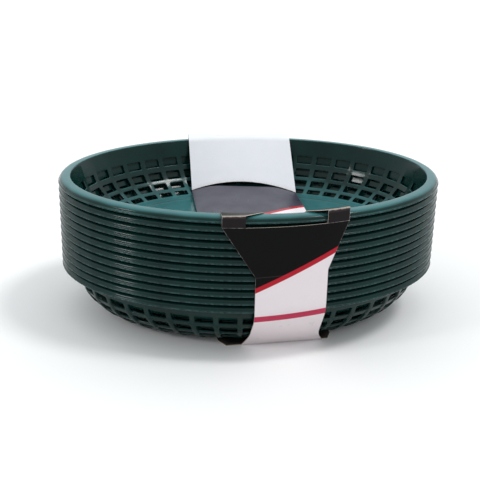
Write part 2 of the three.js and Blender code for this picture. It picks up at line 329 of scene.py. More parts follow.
def rgb(red, green, blue):
    """A colour given in screen values from 0 to 255."""
    def linear(v):
        v /= 255
        return v / 12.92 if v <= 0.04045 else ((v + 0.055) / 1.055) ** 2.4
    return (linear(red), linear(green), linear(blue), 1.0)


def plastic_look(name, painted_top_light):
    """Moulded plastic with fine scuffs and dust. With the flag set, faces that look up are painted paler:
    painted light from above.
    """
    look = Look(name, IOR=1.5, Specular_IOR_Level=0.24)
    clouds = look.noise(26.0, 3.0)
    speck = look.noise(2600.0, 1.0)
    colour = look.mix(look.span(clouds, 0.35, 0.65), rgb(8, 40, 37), rgb(12, 49, 45))
    # painted light: faces that look up are painted paler, standing in for light from above
    if painted_top_light:
        facing = look.node("ShaderNodeTexCoord").outputs["Normal"]
        upwards = look.node("ShaderNodeSeparateXYZ", {0: facing}).outputs[2]
        upward_light_share = look.math("ADD", upwards, look.span(clouds, 0.3, 0.7, -0.08, 0.08))
        colour = look.mix(look.span(upward_light_share, 0.62, 1.0), colour, rgb(60, 114, 117))
    wear = look.math("MULTIPLY", look.attribute("wear"), look.span(look.noise(420.0, 3.0), 0.4, 0.7))
    colour = look.mix(look.math("MULTIPLY", wear, 0.45), colour, rgb(104, 150, 156))
    colour = look.mix(look.span(speck, 0.74, 0.8, 0.0, 0.3), colour, rgb(150, 175, 175))
    scuffs = look.noise(90.0, 4.0, stretch=(1.0, 1.0, 14.0), roughness=0.7)
    roughness = look.span(scuffs, 0.35, 0.7, 0.1, 0.24)
    ripple = look.bump(look.noise(55.0, 1.0), 0.0004, 0.5)
    peel = look.bump(look.noise(1500.0, 2.0), 0.00002, 0.6, ripple)
    return look.finish(colour, roughness, peel)


def board_noises(look):
    fibres = look.noise(1400.0, 3.0, stretch=(1.0, 1.0, 0.35), roughness=0.7)
    waves = look.noise(38.0, 2.0)
    return fibres, waves


PRINT_ROUGHNESS = (0.26, 0.56)


def printed_look(name, paint, specular=0.09):
    """Coated board. paint(look, across, along) gives the print's colour there, in millimetres."""
    look = Look(name, Specular_IOR_Level=specular)
    flat = look.node("ShaderNodeUVMap", uv_map="flat").outputs[0]
    parts = look.node("ShaderNodeSeparateXYZ", {0: flat})
    colour = paint(look, parts.outputs[0], parts.outputs[1])
    fibres, waves = board_noises(look)
    creases = look.attribute("wear")
    flakes = look.span(look.noise(260.0, 4.0, roughness=0.8), 0.42, 0.6)
    worn = look.math("MULTIPLY", look.span(creases, 0.7, 1.0), flakes)
    haze = look.math("MULTIPLY", look.span(creases, 0.0, 0.35), 0.2)
    colour = look.mix(haze, colour, rgb(112, 100, 104))
    colour = look.mix(look.math("MULTIPLY", worn, 0.85), colour, rgb(214, 206, 204))
    roughness = look.span(look.math("ADD", look.noise(60.0, 4.0), look.math("MULTIPLY", creases, 0.3)),
                          0.3, 1.0, *PRINT_ROUGHNESS)
    dents = look.bump(waves, 0.0012, 0.35)
    normal = look.bump(look.math("ADD", look.math("MULTIPLY", fibres, 0.4), worn), 0.00012, 0.5, dents)
    return look.finish(colour, roughness, normal)


def plain_board_look(name, light, dark, roughness=0.75):
    look = Look(name, Specular_IOR_Level=0.25)
    fibres, waves = board_noises(look)
    blotches = look.noise(70.0, 4.0)
    share = look.math("ADD", look.math("MULTIPLY", fibres, 0.6), look.math("MULTIPLY", blotches, 0.4))
    colour = look.mix(look.span(share, 0.35, 0.65), light, dark)
    worn = look.math("MULTIPLY", look.attribute("wear"), look.span(fibres, 0.4, 0.6))
    colour = look.mix(look.math("MULTIPLY", worn, 0.4), colour, rgb(176, 160, 140))
    normal = look.bump(fibres, 0.00008, 0.5, look.bump(waves, 0.0012, 0.3))
    return look.finish(colour, look.span(fibres, 0.3, 0.7, roughness - 0.08, roughness + 0.08), normal)


INK = rgb(10, 10, 11)
# the tongue's black print painted bluish grey: a painted sheen of its glossy coat
SHEEN_GREY_INK = rgb(56, 55, 70)
PALE = rgb(246, 236, 240)
RED = rgb(188, 36, 52)
LIGHT_RED = rgb(198, 62, 92)

# Stripes of the print: slope, middle and half width in millimetres, and where the ink ends
UPPER_STRIPE = dict(slope=0.484, centre=67.5, half=2.1, ink=(66.9, 67.4))
LOWER_STRIPE = dict(slope=0.072, centre=39.0, half=2.7)
TONGUE_STRIPE = dict(slope=0.52, centre=-2.0, half=2.3, ink=(-4.5, -4.0))
STRIPE_SOFT = 0.25


def stripe(look, value, centre, half):
    """1 inside a stripe of that half width, 0 outside."""
    away = look.math("ABSOLUTE", look.math("SUBTRACT", value, centre))
    return look.span(away, half + STRIPE_SOFT, half - STRIPE_SOFT)


def parted_paint(look, across, along, line, ink):
    """Ink over pale, parted by a rising red stripe."""
    rise = look.math("SUBTRACT", along, look.math("MULTIPLY", across, line["slope"]))
    colour = look.mix(look.span(rise, *line["ink"]), PALE, ink)
    return look.mix(stripe(look, rise, line["centre"], line["half"]), colour, RED)


def front_paint(look, across, along):
    """Black over pale, parted by a rising red stripe, with a second stripe near the bottom."""
    colour = parted_paint(look, across, along, UPPER_STRIPE, INK)
    low = look.math("SUBTRACT", along, look.math("MULTIPLY", across, LOWER_STRIPE["slope"]))
    return look.mix(stripe(look, low, LOWER_STRIPE["centre"], LOWER_STRIPE["half"]), colour, LIGHT_RED)


# the tongue's ink is the bluish grey of the painted sheen
def tongue_paint(look, across, along):
    return parted_paint(look, across, along, TONGUE_STRIPE, SHEEN_GREY_INK)


def black_paint(look, across, along):
    return look.mix(look.span(look.noise(9.0), 0.3, 0.7), INK, rgb(20, 18, 18))


GREEN = plastic_look("green_plastic", False)
# the top basket's plastic, with painted light on its faces that look up
TOP_LIT_GREEN = plastic_look("green_plastic_top_lit", True)
FRONT_PRINT = printed_look("front_print", front_paint)
# the tongue's print with painted sheen in its ink, glossier than the other prints
TONGUE_PRINT_AND_SHEEN = printed_look("tongue_print_and_sheen", tongue_paint, 0.6)
BLACK_PRINT = printed_look("black_print", black_paint)
WHITE_BOARD = plain_board_look("white_board_face", rgb(242, 243, 248), rgb(235, 237, 243))
DARK_BACK = plain_board_look("dark_board_back", rgb(34, 31, 31), rgb(22, 20, 21), 0.85)
CUT_EDGE = plain_board_look("cut_edge", rgb(212, 200, 190), rgb(176, 162, 150), 0.85)


# Basket

# Where the points of every ring lie across a column of windows
SHARES = [-0.5, -0.40, -0.36, 0.0, 0.36, 0.40]


def ring_shares():
    return [(column + share) / COLUMNS for column in range(COLUMNS) for share in SHARES]


def ring(mesh, inset, depth, wear=0.0):
    """The points all the way round, at that inset from the rim's edge and depth below the flange."""
    made = []
    for share in ring_shares():
        angle = ANGLE(share)
        made.append(mesh.point((HALF_LENGTH - inset) * math.cos(angle),
                               (HALF_WIDTH - inset) * math.sin(angle), -depth, (share, depth), wear))
    return made


def wall_vertex(mesh, column, share, distance, offset, wear=0.0):
    angle = ANGLE((column + share) / COLUMNS)
    inset, depth = wall_point(distance, offset)
    return mesh.point((HALF_LENGTH - inset) * math.cos(angle), (HALF_WIDTH - inset) * math.sin(angle),
                      -depth, (share, distance), wear)


def window_rows():
    """Start and end of each row of windows, as distances down the wall."""
    open_height = WALL_LENGTH - PLAIN_BAND - FOOT_BAND - sum(BAR_HEIGHTS)
    rows, level = [], PLAIN_BAND
    for i, share in enumerate(ROW_SHARES):
        end = level + open_height * share / sum(ROW_SHARES)
        rows.append((level, end))
        level = end + (BAR_HEIGHTS[i] if i < len(BAR_HEIGHTS) else 0)
    return rows


def rib_height(distance):
    """How far the upright ribs stand out behind the wall, rising from the plain band down."""
    t = min(max((distance - RIB_START) / RIB_TAPER, 0.0), 1.0)
    return RIB_HEIGHT * t * t * (3 - 2 * t)


def outer_offset(share, distance):
    """How far the outer face lies behind the inner one, ribs included."""
    t = min(max((abs(share) - RIB_EDGE) / RIB_EDGE_SPAN, 0.0), 1.0)
    return WALL + rib_height(distance) * t


def window_loop(start, end, grow):
    """Twenty points round a window, as share of a column and distance, from its top left corner."""
    half_u = WINDOW_SHARE / 2 * COLUMN_WIDTH + grow
    top, bottom = start - grow, end + grow
    corner = WINDOW_CORNER + grow
    cut = corner * (1 - math.sqrt(0.5))
    u = [-half_u + cut, -half_u + corner, -half_u + corner + 1.0]
    upper = [(u[0], top + cut), (u[1], top), (u[2], top), (0.0, top), (-u[2], top), (-u[1], top),
             (-u[0], top + cut)]
    right = [(half_u, top + corner), (half_u, (top + bottom) / 2), (half_u, bottom - corner)]
    lower = [(-p, bottom + (top - q)) for p, q in upper]
    left = [(-p, bottom + (top - q)) for p, q in right]
    return [(p / COLUMN_WIDTH, q) for p, q in upper + right + lower + left]


# A window's edge on the inner face, as growth of the window, distance behind the face and wear,
# and on the outer face, as growth and distance in front of the face
INNER_EDGE = [(0.45, 0.0, 0.0), (0.12, 0.12, 1.0), (0.0, 0.45, 0.3), (0.1, WALL - 0.4, 0.0)]
OUTER_EDGE = [(0.2, 0.2), (0.5, 0.0)]


def build_lattice(mesh):
    """The windowed part of the wall. Returns the first and last rings of its two faces."""
    rows = window_rows()
    edges = [rows[0][0] - LATTICE_START]
    edges += [(rows[i][1] + rows[i + 1][0]) / 2 for i in range(len(rows) - 1)]
    edges += [WALL_LENGTH - LATTICE_END]
    known = {}

    def border(column, share, distance, outside):
        if share >= 0.5:
            column, share = (column + 1) % COLUMNS, share - 1.0
        key = (column, round(share, 4), round(distance, 4), outside)
        if key not in known:
            offset = outer_offset(share, distance) if outside else 0.0
            known[key] = wall_vertex(mesh, column, share, distance, offset)
        return known[key]

    across = SHARES + [0.5]
    for row, (start, end) in enumerate(rows):
        top, bottom = edges[row], edges[row + 1]
        sides = [top + (bottom - top) * k / 4 for k in (1, 2, 3)]
        outline = [(s, top) for s in across] + [(0.5, q) for q in sides]
        outline += [(-s, bottom) for s in across] + [(-0.5, q) for q in reversed(sides)]
        for column in range(COLUMNS):
            outer = [border(column, s, q, True) for s, q in outline]
            previous = [border(column, s, q, False) for s, q in outline]
            for grow, offset, wear in INNER_EDGE:
                loop = [wall_vertex(mesh, column, s, q, offset, wear)
                        for s, q in window_loop(start, end, grow)]
                mesh.band(previous, loop)
                previous = loop
            for grow, back in OUTER_EDGE:
                loop = [wall_vertex(mesh, column, s, q, outer_offset(s, q) - back)
                        for s, q in window_loop(start, end, grow)]
                mesh.band(previous, loop)
                previous = loop
            mesh.band(previous, outer)

    def whole(distance, outside):
        return [border(column, share, distance, outside) for column in range(COLUMNS) for share in SHARES]

    return whole(edges[0], False), whole(edges[-1], False), whole(edges[0], True), whole(edges[-1], True)


# The rim's section from the foot of the skirt up over its bead and the flange, as insets and
# depths, and below it from the wall back to the skirt. Wear goes by the number of the point.
RIM = [(1.5, SKIRT_DEPTH - 0.1), (1.0, SKIRT_DEPTH), (0.35, SKIRT_DEPTH - 0.1),
       (0.05, SKIRT_DEPTH - 0.45), (0.0, SKIRT_DEPTH - 0.8), (0.1, SKIRT_DEPTH - 1.15),
       (0.5, SKIRT_DEPTH - 1.5), (0.9, SKIRT_DEPTH - 1.9), (0.98, 2.85), (1.2, 2.25), (1.65, 1.55),
       (2.35, 0.95), (3.2, 0.5), (4.3, 0.22), (5.6, 0.08), (7.0, 0.02), (8.8, 0.0), (9.5, 0.04),
       (9.9, 0.3), (FLANGE_WIDTH + 0.22, 1.0)]
RIM_WEAR = {3: 0.5, 4: 0.6, 5: 0.5, 17: 0.4, 18: 0.5}
UNDER_RIM = [(FLANGE_WIDTH - 1.3, WALL + 0.7), (FLANGE_WIDTH - 2.2, WALL + 0.1), (5.0, WALL + 0.15),
             (3.5, WALL + 0.6), (2.7, WALL + 1.5), (2.3, SKIRT_DEPTH - 0.6)]
PLAIN_RINGS = (4.0, 8.0)


def basket_mesh():
    mesh = Mesh()
    inner_top, inner_end, outer_top, outer_end = build_lattice(mesh)
    rings = [ring(mesh, inset, depth, RIM_WEAR.get(i, 0.0)) for i, (inset, depth) in enumerate(RIM)]
    rings += [ring(mesh, *wall_point(distance)) for distance in PLAIN_RINGS]
    for first, second in zip(rings, rings[1:]):
        mesh.band(first, second)
    mesh.band(rings[-1], inner_top)
    # the floor: a rounded ridge, a groove inside it and a slightly raised middle
    end_inset, end_depth = wall_point(WALL_LENGTH)
    floor = BASKET_HEIGHT - WALL
    ridge = end_inset + RIDGE_WIDTH
    steps = [(end_inset + 1.2, end_depth - 0.08), (ridge - 1.0, end_depth - 0.08),
             (ridge - 0.3, end_depth + 0.05), (ridge + 0.3, floor - 0.25), (ridge + 1.2, floor + 0.1),
             (ridge + 4.0, floor + 0.1), (ridge + 5.0, floor - 0.1), (ridge + 12.0, floor - 0.15),
             (ridge + 25.0, floor - 0.2), (FLOOR_MIDDLE_INSET, floor - 0.2)]
    floor_rings = [ring(mesh, inset, depth) for inset, depth in steps]
    mesh.band(inner_end, floor_rings[0])
    for first, second in zip(floor_rings, floor_rings[1:]):
        mesh.band(first, second)
    centre = mesh.point(0, 0, -(floor - 0.2))
    last = floor_rings[-1]
    for i in range(len(last)):
        mesh.face((last[i], last[(i + 1) % len(last)], centre))
    # the outside, back up from the underside
    end = wall_point(WALL_LENGTH, WALL)[0]
    under = [(end + 30.0, BASKET_HEIGHT), (end + 6.0, BASKET_HEIGHT), (end + 2.2, BASKET_HEIGHT - 0.05),
             (end + 1.0, BASKET_HEIGHT - 0.45)]
    under_rings = [ring(mesh, inset, depth) for inset, depth in under]
    bottom = mesh.point(0, 0, -BASKET_HEIGHT)
    first = under_rings[0]
    for i in range(len(first)):
        mesh.face((first[(i + 1) % len(first)], first[i], bottom))
    for a, b in zip(under_rings, under_rings[1:]):
        mesh.band(a, b)
    mesh.band(under_rings[-1], outer_end)
    outside = [ring(mesh, *wall_point(distance, WALL)) for distance in reversed(PLAIN_RINGS)]
    outside += [ring(mesh, inset, depth) for inset, depth in UNDER_RIM]
    mesh.band(outer_top, outside[0])
    for a, b in zip(outside, outside[1:]):
        mesh.band(a, b)
    mesh.band(outside[-1], rings[0])
    return mesh


def add_baskets():
    nested = weigh_normals(basket_mesh().build("fine_basket", [GREEN]), "basket")
    # only the top basket has the painted light on faces that look up; the nested ones keep the plain
    # colour
    top = nested.copy()
    top.materials[0] = TOP_LIT_GREEN
    for index in range(BASKETS):
        name = f"basket_{index + 1:02d}"
        basket = bpy.data.objects.new("fine_" + name, top if index == BASKETS - 1 else nested)
        basket.location.z = flange_top(index) / 1000
        bpy.context.scene.collection.objects.link(basket)
        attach(basket, "pack")
        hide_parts(name)


# Sleeve


def rim_bow(x):
    """How far the rim's edge at that x lies behind its middle."""
    return HALF_WIDTH * (1 - math.sqrt(1 - (x / HALF_LENGTH) ** 2))


def across_board(row, share):
    """Place across a board. Where it is slotted, SLOT_SHARE falls on the slot's sides."""
    if not row.get("slotted"):
        return row["half"] * share
    size = abs(share)
    if size <= SLOT_SHARE:
        place = SLOT_HALF * size / SLOT_SHARE
    else:
        place = SLOT_HALF + (row["half"] - SLOT_HALF) * (size - SLOT_SHARE) / (1 - SLOT_SHARE)
    return math.copysign(place, share)


def board_point(row, side, share):
    """Point of a board's inner face in one of its rows. side is -1 in front and 1 at the back, and
    share goes from -1 to 1 across the board."""
    across = row["shift"] + across_board(row, share)
    x = SLEEVE_SHIFT - side * across
    bulge, lift = row.get("curve", lambda s: (0.0, 0.0))(share)
    inwards = row.get("follow", 0.0) * rim_bow(x) + row.get("turn", 0.0) * across
    return Vector((x, side * (row["reach"] + bulge - inwards),
                   row["height"] + lift + row.get("slope", 0.0) * across))


def round_path(points, rounds):
    """A polyline with its inner corners rounded by the given lengths. Each corner gives
    CORNER_STEPS + 1 points."""
    made = [points[0]]
    for i in range(1, len(points) - 1):
        before, corner, after = points[i - 1], points[i], points[i + 1]
        size = rounds[i]
        a = corner + (before - corner).normalized() * size
        b = corner + (after - corner).normalized() * size
        made.append(a)
        for k in range(1, CORNER_STEPS):
            t = k / CORNER_STEPS
            made.append(a * (1 - t) ** 2 + corner * 2 * t * (1 - t) + b * t ** 2)
        made.append(b)
    made.append(points[-1])
    return made


COLUMN_SHARES = [-1.0, -0.985, -0.91, -0.82, -0.73, -0.64, -0.48, -0.32, -0.16, 0.0,
                 0.16, 0.32, 0.48, 0.64, 0.73, 0.82, 0.91, 0.985, 1.0]


def sheet_mesh(grid, flat, outwards, keep=lambda row, column: True, wear=None):
    """A closed sheet of board: material 0 on the outer face, 1 on the inner face, 2 on its cut edges.
    outwards is a rough direction of the outer face."""
    rows, columns = len(grid), len(grid[0])
    mesh = Mesh()
    outer, inner = [], []
    for i in range(rows):
        outer.append([])
        inner.append([])
        for j in range(columns):
            along = grid[min(i + 1, rows - 1)][j] - grid[max(i - 1, 0)][j]
            across = grid[i][min(j + 1, columns - 1)] - grid[i][max(j - 1, 0)]
            normal = along.cross(across).normalized()
            if normal.dot(outwards(i, j)) < 0:
                normal = -normal
            p, q = grid[i][j], grid[i][j] + normal * BOARD
            amount = wear(i, j) if wear else 0.0
            inner[i].append(mesh.point(*p, flat[i][j], amount))
            outer[i].append(mesh.point(*q, flat[i][j], amount))
    flips = None
    for i in range(rows - 1):
        for j in range(columns - 1):
            if not keep(i, j):
                continue
            corners = [(i, j), (i, j + 1), (i + 1, j + 1), (i + 1, j)]
            if flips is None:
                a, b, c = (Vector(mesh.points[outer[r][s]]) for r, s in corners[:3])
                flips = (b - a).cross(c - b).dot(outwards(i, j)) < 0
            turned = corners[::-1] if flips else corners
            mesh.face(tuple(outer[r][s] for r, s in turned), 0)
            mesh.face(tuple(inner[r][s] for r, s in reversed(turned)), 1)
            sides = [((i, j), (i, j + 1), i - 1, j), ((i, j + 1), (i + 1, j + 1), i, j + 1),
                     ((i + 1, j + 1), (i + 1, j), i + 1, j), ((i + 1, j), (i, j), i, j - 1)]
            for a, b, r, s in sides:
                if 0 <= r < rows - 1 and 0 <= s < columns - 1 and keep(r, s):
                    continue
                face = (outer[b[0]][b[1]], outer[a[0]][a[1]], inner[a[0]][a[1]], inner[b[0]][b[1]])
                mesh.face(face[::-1] if flips else face, 2)
    return mesh


def finish_sheet(mesh, name, materials):
    """The sheet as an object, with sharp cut edges and separate faces there."""
    thing = bpy.data.objects.new(name, mesh.build(name, materials))
    bpy.context.scene.collection.objects.link(thing)
    modifier = thing.modifiers.new("crisp", "EDGE_SPLIT")
    modifier.split_angle = CRISP_ANGLE
    modifier.use_edge_sharp = False
    graph = bpy.context.evaluated_depsgraph_get()
    done = bpy.data.meshes.new_from_object(thing.evaluated_get(graph))
    thing.modifiers.clear()
    thing.data = done
    return thing


RIM_REACH = HALF_WIDTH + BOARD_GAP
END_INSET = wall_point(WALL_LENGTH)[0]
BASE_REACH = HALF_WIDTH - (END_INSET - WALL * math.sin(FLOOR_LEAN)) + BASE_OVERHANG
BELLY_LINE = wall_point(WALL_LENGTH * BELLY_SHARE, WALL + BELLY_GAP)
SLOT_BOTTOM = TOP - SLOT_DEPTH
FLAP_EDGE_REACH = HALF_WIDTH - FLANGE_WIDTH - FLAP_EDGE_INSET
FLAP_EDGE_HEIGHT = TOP + BOARD_GAP
CREASE_REACH = HALF_WIDTH - END_INSET - FLOOR_CREASE_INSET
EARS = dict(reach=RIM_REACH, half=EAR_HALF, shift=EAR_SHIFT, follow=1.0, slotted=True)


def fold_of(side):
    """The crease over the rims: its height in the middle of the board and its slope across it."""
    fold = FRONT_FOLD if side < 0 else BACK_FOLD
    return TOP + fold["rise"], fold["slope"]


def bow(share):
    return 1 - share ** 2


def grid_from(rows, side, rounds, fills):
    """Points of a board's inner face from its rows, with rounded bends and filled spans. Returns
    the grid and the number of the grid row at which each given row lies."""
    columns = []
    for share in COLUMN_SHARES:
        path = [board_point(row, side, share) for row in rows]
        columns.append(round_path(path, rounds))
    count = len(columns[0])
    grid = [[column[i] for column in columns] for i in range(count)]
    size = CORNER_STEPS + 1
    marks = [0] + [size * k - size // 2 for k in range(1, len(rows) - 1)] + [count - 1]
    spans = [(size * k, size * k + 1) for k in range(len(rows) - 1)]
    filled, places = [], {}
    for i in range(count):
        places[i] = len(filled)
        filled.append(grid[i])
        for span, (a, b) in enumerate(spans):
            if i == a and fills[span] > 1:
                for k in range(1, fills[span]):
                    t = k / fills[span]
                    filled.append([p.lerp(q, t) for p, q in zip(grid[a], grid[b])])
    return filled, [places[m] for m in marks]


def upright_panel(side):
    """The board from the base's edge up past the belly, the neck and the ears to the fold."""
    foot = dict(reach=(BASE_REACH + FOOT_GAP) / math.cos(BASE_TURN), turn=math.tan(BASE_TURN),
                height=FOOT_GAP, half=FOOT_HALF, shift=NECK_SHIFT)
    belly = dict(reach=HALF_WIDTH - BELLY_LINE[0], height=flange_top(0) - BELLY_LINE[1], half=BELLY_HALF,
                 shift=NECK_SHIFT, follow=BELLY_FOLLOW)
    neck = dict(reach=RIM_REACH, half=NECK_HALF, shift=NECK_SHIFT, follow=1.0)
    ear_top, slope = fold_of(side)
    rows = [foot, belly, {**neck, "height": NECK_FOOT, "slope": NECK_FOOT_SLOPE},
            {**neck, "height": NECK_TOP, "slope": NECK_TOP_SLOPE},
            {**EARS, "height": SLOT_BOTTOM, "slope": SLOT_SLOPE},
            {**EARS, "height": ear_top, "slope": slope}]
    grid, marks = grid_from(rows, side, PANEL_ROUNDS, PANEL_FILLS)
    flat = [[(p.x * -side, p.z) for p in row] for row in grid]
    neck_top, slot_start = marks[3], marks[4]

    def keep(i, j):
        middle = (COLUMN_SHARES[j] + COLUMN_SHARES[j + 1]) / 2
        return i < slot_start or abs(middle) > SLOT_SHARE

    def wear(i, j):
        share = abs(COLUMN_SHARES[j])
        amount = 0.0
        if i == neck_top and COLUMN_SHARES[j] < 0:
            amount = CREASE_WEAR
        if i >= slot_start and share >= SLOT_SHARE:
            amount = 1.0 if i == slot_start else EAR_WEAR
        return 1.0 if i in (0, len(grid) - 1) or share == 1.0 else amount

    return sheet_mesh(grid, flat, lambda i, j: Vector((0, side, -0.3)), keep, wear)


def add_panel(side, node, look):
    panel = finish_sheet(upright_panel(side), "fine_" + node, [look, DARK_BACK, CUT_EDGE])
    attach(panel, "pack")
    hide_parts(node)


def base_mesh():
    """The board below the pack, a little turned, and narrower at its two folded edges."""
    columns, rows = BASE_COLUMNS, BASE_ROWS
    turn = Matrix.Rotation(BASE_TURN, 3, "Z")
    grid, flat = [], []
    for i in range(rows + 1):
        grid.append([])
        flat.append([])
        for j in range(columns + 1):
            y = -BASE_REACH + 2 * BASE_REACH * i / rows
            half = BASE_HALF + BASE_FLARE * min((BASE_REACH - abs(y)) / BASE_FLARE_LENGTH, 1.0)
            x = -half + 2 * half * j / columns
            p = turn @ Vector((x, y, BOARD))
            grid[-1].append(Vector((p.x + SLEEVE_SHIFT, p.y, p.z)))
            flat[-1].append((x, y))

    def wear(i, j):
        return BASE_EDGE_WEAR if i in (0, rows) or j in (0, columns) else 0.0

    return sheet_mesh(grid, flat, lambda i, j: Vector((0, 0, -1)), wear=wear)


def add_base():
    base = finish_sheet(base_mesh(), "fine_sleeve_base", [WHITE_BOARD, DARK_BACK, CUT_EDGE])
    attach(base, "pack")
    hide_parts("sleeve_base")


FLAP_EDGE = dict(reach=FLAP_EDGE_REACH, height=FLAP_EDGE_HEIGHT, half=FLAP_HALF, shift=EAR_SHIFT,
                 follow=1.0)
FRONT_END = dict(reach=CREASE_REACH, height=TONGUE_HEIGHT, half=FLAP_HALF, shift=FLOOR_CREASE_SHIFT)
BACK_END = dict(reach=TONGUE_MEET + MEET_GAP, height=TONGUE_HEIGHT + TONGUE_RAMP + BOARD, half=FLAP_HALF,
                shift=-TONGUE_MEET_SHIFT, turn=TONGUE_MEET_TURN)
ARCH = Vector((FLAP_EDGE_REACH - BACK_END["reach"], FLAP_EDGE_HEIGHT - BACK_END["height"])).normalized()
# the back flap's lower edge is arched
BACK_END["curve"] = lambda share: tuple(ARCH * ARCH_RISE * bow(share))


def flap_line(side, share):
    """A flap's straight line down from its edge over the rim: its start and its lower end."""
    end = FRONT_END if side < 0 else BACK_END
    return board_point(FLAP_EDGE, side, share), board_point(end, side, share)


def rim_strip(side, hand, slot_inner, share_inner):
    """A strip of board folded over the rim and bent into its flap. hand is -1 or 1 for the ears'
    strips and 0 for the one between them. The slot's sides end at slot_inner from the middle, and
    at share_inner of the way over the rim."""
    ear_top, slope = fold_of(side)

    def spot(t, c):
        """The point at t over the rim, from 0 at the fold to 1 at the flap's edge, and at c across
        the strip, and its share of the flap's half width."""
        inner = SLOT_HALF + (slot_inner - SLOT_HALF) * min(t / share_inner, 1.0)
        outer = EAR_HALF + (FLAP_HALF - EAR_HALF) * t
        place = hand * (inner + (outer - inner) * c) if hand else slot_inner * (2 * c - 1)
        x = SLEEVE_SHIFT - side * (EAR_SHIFT + place)
        reach = RIM_REACH + (FLAP_EDGE_REACH - RIM_REACH) * t
        fold = ear_top + slope * (EAR_SHIFT + place)
        height = fold + (FLAP_EDGE_HEIGHT - fold) * t
        return Vector((x, side * (reach - rim_bow(x)), height)), place / FLAP_HALF

    columns = EAR_COLUMNS if hand else 2 * EAR_COLUMNS
    lines = []
    for j in range(columns + 1):
        line = [spot(t, j / columns)[0] for t in RIM_STEPS if hand or t >= share_inner]
        edge, share = spot(1.0, j / columns)
        high, low = flap_line(side, share)
        down = (low - high).normalized()
        before, after = line[-1], edge + down * BEND
        for t in BEND_STEPS:
            line.append(before * (1 - t) ** 2 + edge * 2 * t * (1 - t) + after * t ** 2)
        line.append(edge + down * FLAP_START)
        lines.append(line)
    grid = [[line[i] for line in lines] for i in range(len(lines[0]))]
    flat = [[(p.x * -side, p.y) for p in row] for row in grid]

    def wear(i, j):
        return 1.0 if i == 0 else 0.0

    return sheet_mesh(grid, flat, lambda i, j: Vector((0, -0.2 * side, 1)), wear=wear)


def add_strips(side, where, node, look, slot_inner, share_inner, hands):
    """The strips of one flap's fold, each bent from over the rim into the start of the flap."""
    for hand, word in hands.items():
        mesh = rim_strip(side, hand, slot_inner, share_inner)
        strip = finish_sheet(mesh, f"fine_sleeve_{where}_{word}", [look, DARK_BACK, CUT_EDGE])
        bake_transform(strip)
        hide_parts(node)


def flap_mesh(side):
    """A flap inside the top basket, from just below its bend to its lower end."""
    grid = []
    for i in range(FLAP_ROWS + 1):
        line = []
        for share in COLUMN_SHARES:
            high, low = flap_line(side, share)
            high = high + (low - high).normalized() * FLAP_START
            line.append(high.lerp(low, i / FLAP_ROWS))
        grid.append(line)
    flat = [[(p.x * -side, p.z) for p in row] for row in grid]

    def keep(i, j):
        # the front flap's slot reaches down past the bend
        middle = abs(COLUMN_SHARES[j] + COLUMN_SHARES[j + 1]) / 2
        return side > 0 or i >= FRONT_SLOT_ROWS or middle > FRONT_SLOT_SHARE

    def wear(i, j):
        amount = SIDE_WEAR if abs(COLUMN_SHARES[j]) == 1.0 else 0.0
        return FLAP_END_WEAR if i == FLAP_ROWS else amount

    return sheet_mesh(grid, flat, lambda i, j: Vector((0, -side, 0.8)), keep, wear)


def add_flaps():
    """The two flaps without the strips of their folds."""
    front = finish_sheet(flap_mesh(-1), "fine_sleeve_front_flap", [BLACK_PRINT, DARK_BACK, CUT_EDGE])
    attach(front, "front_flap")
    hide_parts("sleeve_front_flap")
    back = finish_sheet(flap_mesh(1), "fine_sleeve_back_flap", [WHITE_BOARD, DARK_BACK, CUT_EDGE])
    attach(back, "back_flap")
    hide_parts("sleeve_back_flap")


def tongue_mesh():
    """The board over the floor. Towards the back, its middle bulges out and rises."""
    start = {**FRONT_END, "reach": CREASE_REACH - BOARD}
    end = dict(reach=-TONGUE_MEET, height=TONGUE_HEIGHT + TONGUE_RAMP, half=FLAP_HALF,
               shift=TONGUE_MEET_SHIFT, turn=TONGUE_MEET_TURN)
    grid = []
    for i in range(TONGUE_ROWS + 1):
        t = i / TONGUE_ROWS
        line = []
        for share in COLUMN_SHARES:
            p = board_point(start, -1, share).lerp(board_point(end, -1, share), t)
            spring = min(TONGUE_SPRING * bow(share), 1.0)
            p.y += TONGUE_BULGE * spring * t
            p.z += TONGUE_LIFT * spring * t ** 3
            line.append(p)
        grid.append(line)
    flat = [[(p.x, p.y) for p in row] for row in grid]

    def wear(i, j):
        amount = SIDE_WEAR if abs(COLUMN_SHARES[j]) == 1.0 else 0.0
        return TONGUE_END_WEAR if i in (0, TONGUE_ROWS) else amount

    return sheet_mesh(grid, flat, lambda i, j: Vector((0, 0, 1)), wear=wear)


def add_tongue():
    tongue = finish_sheet(tongue_mesh(), "fine_sleeve_tongue", [TONGUE_PRINT_AND_SHEEN, DARK_BACK, CUT_EDGE])
    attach(tongue, "tongue")
    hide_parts("sleeve_tongue")


# Studio

FLOOR_SIZE = 20.0
FLOOR_DROP = 0.0002
FLOOR_IN_LIGHT = (0.78, 0.77, 0.76, 1)
FLOOR_SEEN = (0.97, 0.97, 0.97, 1)
FLOOR_GLOSSY_SHARE = 0.4
SKY_COLOUR = (0.95, 0.985, 1.0, 1)
SKY_BRIGHT_WAY = (0.0, 0.55, 0.83)
SKY_SPAN = (-0.55, 0.45)
SKY_LIGHT = (0.24, 0.96)
SKY_IN_GLOSS = (0.3, 0.98)
SKY_SEEN = 0.98


def white_share(tree, glossy=1.0):
    """1 for rays that see the background as the camera does, and less than 1 in reflections where
    glossy is less."""
    path = tree.nodes.new("ShaderNodeLightPath")
    soft = tree.nodes.new("ShaderNodeMath")
    soft.operation = "MULTIPLY"
    tree.links.new(path.outputs["Is Glossy Ray"], soft.inputs[0])
    soft.inputs[1].default_value = glossy
    share = path.outputs["Is Camera Ray"]
    for other in (soft.outputs[0], path.outputs["Is Transmission Ray"]):
        add = tree.nodes.new("ShaderNodeMath")
        add.operation = "MAXIMUM"
        tree.links.new(share, add.inputs[0])
        tree.links.new(other, add.inputs[1])
        share = add.outputs[0]
    return share


